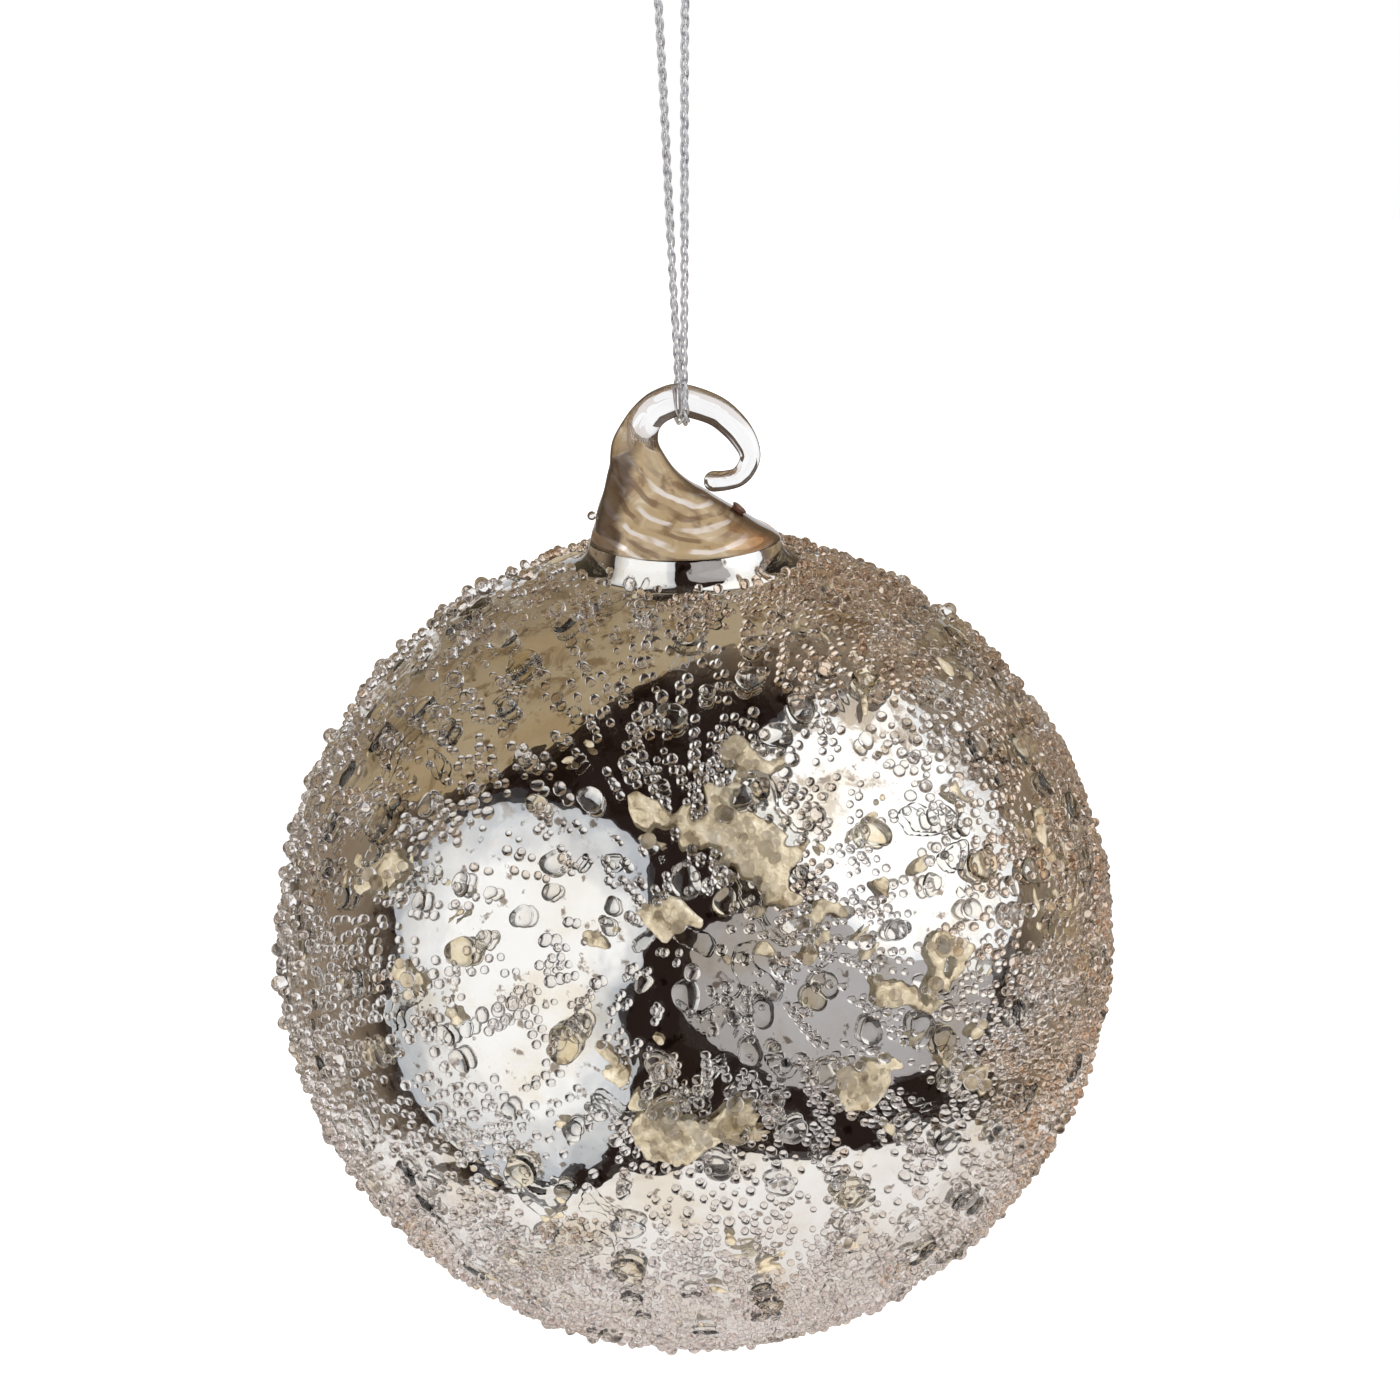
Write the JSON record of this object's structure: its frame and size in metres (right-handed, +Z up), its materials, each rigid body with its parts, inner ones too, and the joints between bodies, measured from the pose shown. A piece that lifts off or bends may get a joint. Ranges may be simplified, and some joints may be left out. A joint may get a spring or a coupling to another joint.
{
  "type": "glass ball ornament",
  "caption": "Silvered blown-glass ball crusted with glass beads, with a hot-worked glass hook on a smooth collar and a knotted loop of metallic cord to hang it by.",
  "frame": {"origin": "where a peg carries the hanging loop, at the underside of the loop's top", "axes": "+Z up along the hanging cord, +X towards the open end of the glass hook, +Y through the hook's eye to the back"},
  "size_m": [0.0799, 0.0801, 0.1708],
  "materials": {
    "clear_glass": "gloss",
    "silvering": "mirror, lightly foxed with brown",
    "lacquer": "tinted brown",
    "adhesive": "clear, rippled",
    "bead_glass": "clear",
    "copper_bead_glass": "clear, copper tint",
    "nugget_glass": "clear, champagne tint",
    "hook_glass": "clear, fire-polished",
    "plug": "brown sealing wax",
    "metallic_cord": "silver thread, chain-braided"
  },
  "bodies": {
    "cord": {"cord_front_run": "metallic_cord", "cord_back_run": "metallic_cord", "cord_knot": "metallic_cord"},
    "bight": {"cord_bight": "metallic_cord"},
    "ornament": {"glass_ball": "clear_glass", "silver_lining": "silvering", "backing_lacquer": "lacquer", "bead_adhesive": "adhesive", "fine_beads": "bead_glass", "medium_beads": "bead_glass", "tinted_beads": "copper_bead_glass", "glass_nuggets": "nugget_glass", "glass_hook": "hook_glass", "fill_hole_plug": "plug"}
  },
  "joints": [
    {"name": "twist", "type": "hinge", "parent": "cord", "child": "bight", "pos_m": [0, 0, -0.07], "axis": [0, 0, 1], "range_deg": [-180, 180]},
    {"name": "swing", "type": "hinge", "parent": "bight", "child": "ornament", "pos_m": [0, 0, -0.07], "axis": [1, 0, 0], "range_deg": [-60, 60]}
  ]
}
